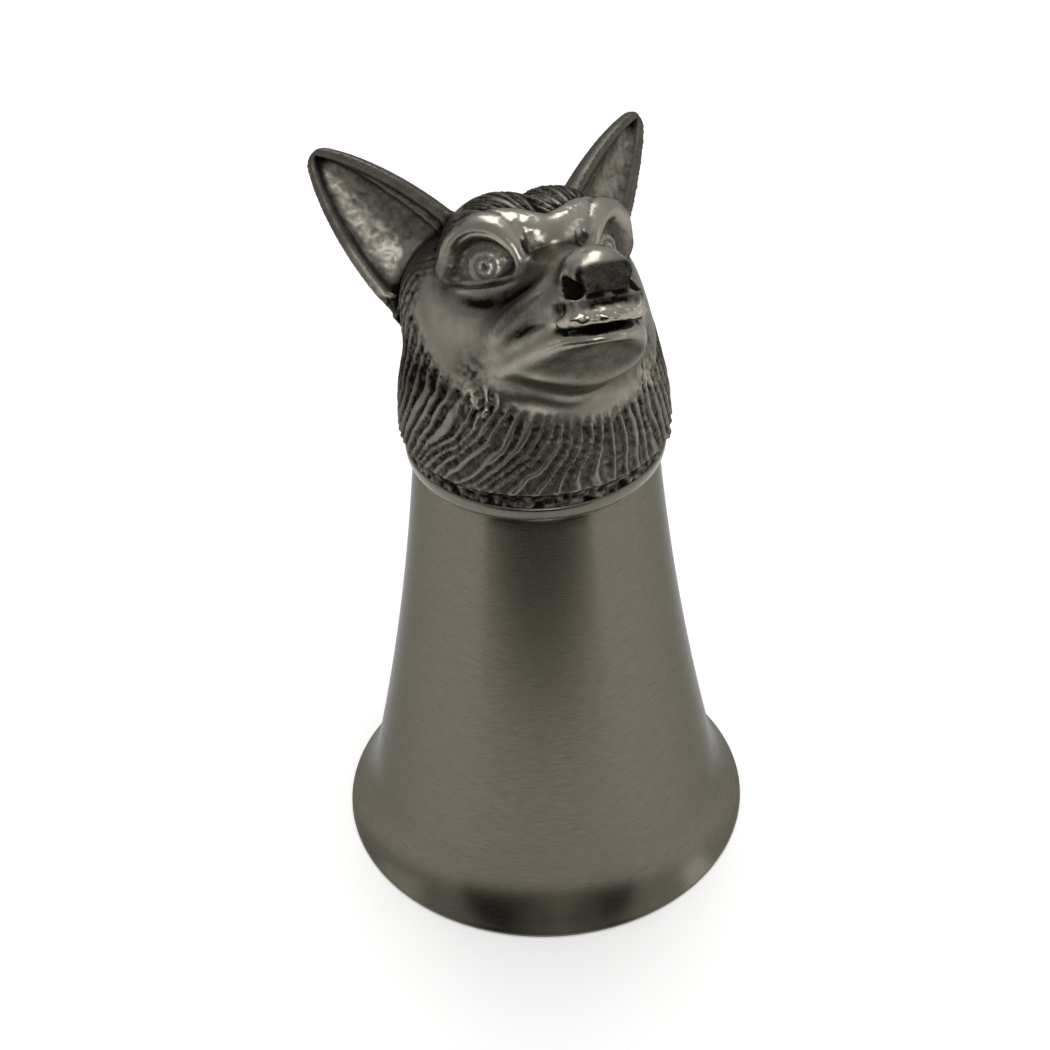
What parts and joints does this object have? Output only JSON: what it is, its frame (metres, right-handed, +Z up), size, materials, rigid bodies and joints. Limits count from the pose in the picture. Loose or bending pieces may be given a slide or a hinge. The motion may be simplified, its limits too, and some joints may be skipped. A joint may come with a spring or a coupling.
{
  "type": "stirrup cup",
  "caption": "Fox-head stirrup cup: a flared brushed-metal cup that stands on its mouth, its closed end carrying a smooth neck ring and a cast fox head with pricked ears.",
  "frame": {"origin": "centre of the mouth, on the plane that the lip stands on", "axes": "+Z up along the axis of the cup, the fox faces -Y, its left ear is on +X"},
  "size_m": [0.0644, 0.0644, 0.1109],
  "materials": {
    "brushed_steel": "spun stainless steel, brushed round the axis",
    "cast_pewter": "cast white metal, dark in the recesses and polished on the high places",
    "solder": "dull soft solder"
  },
  "bodies": {
    "root": {"cup": "brushed_steel", "cup_bond": "solder", "neck_ring": "cast_pewter", "head_solder": "solder", "fox_head": "cast_pewter"}
  },
  "joints": []
}
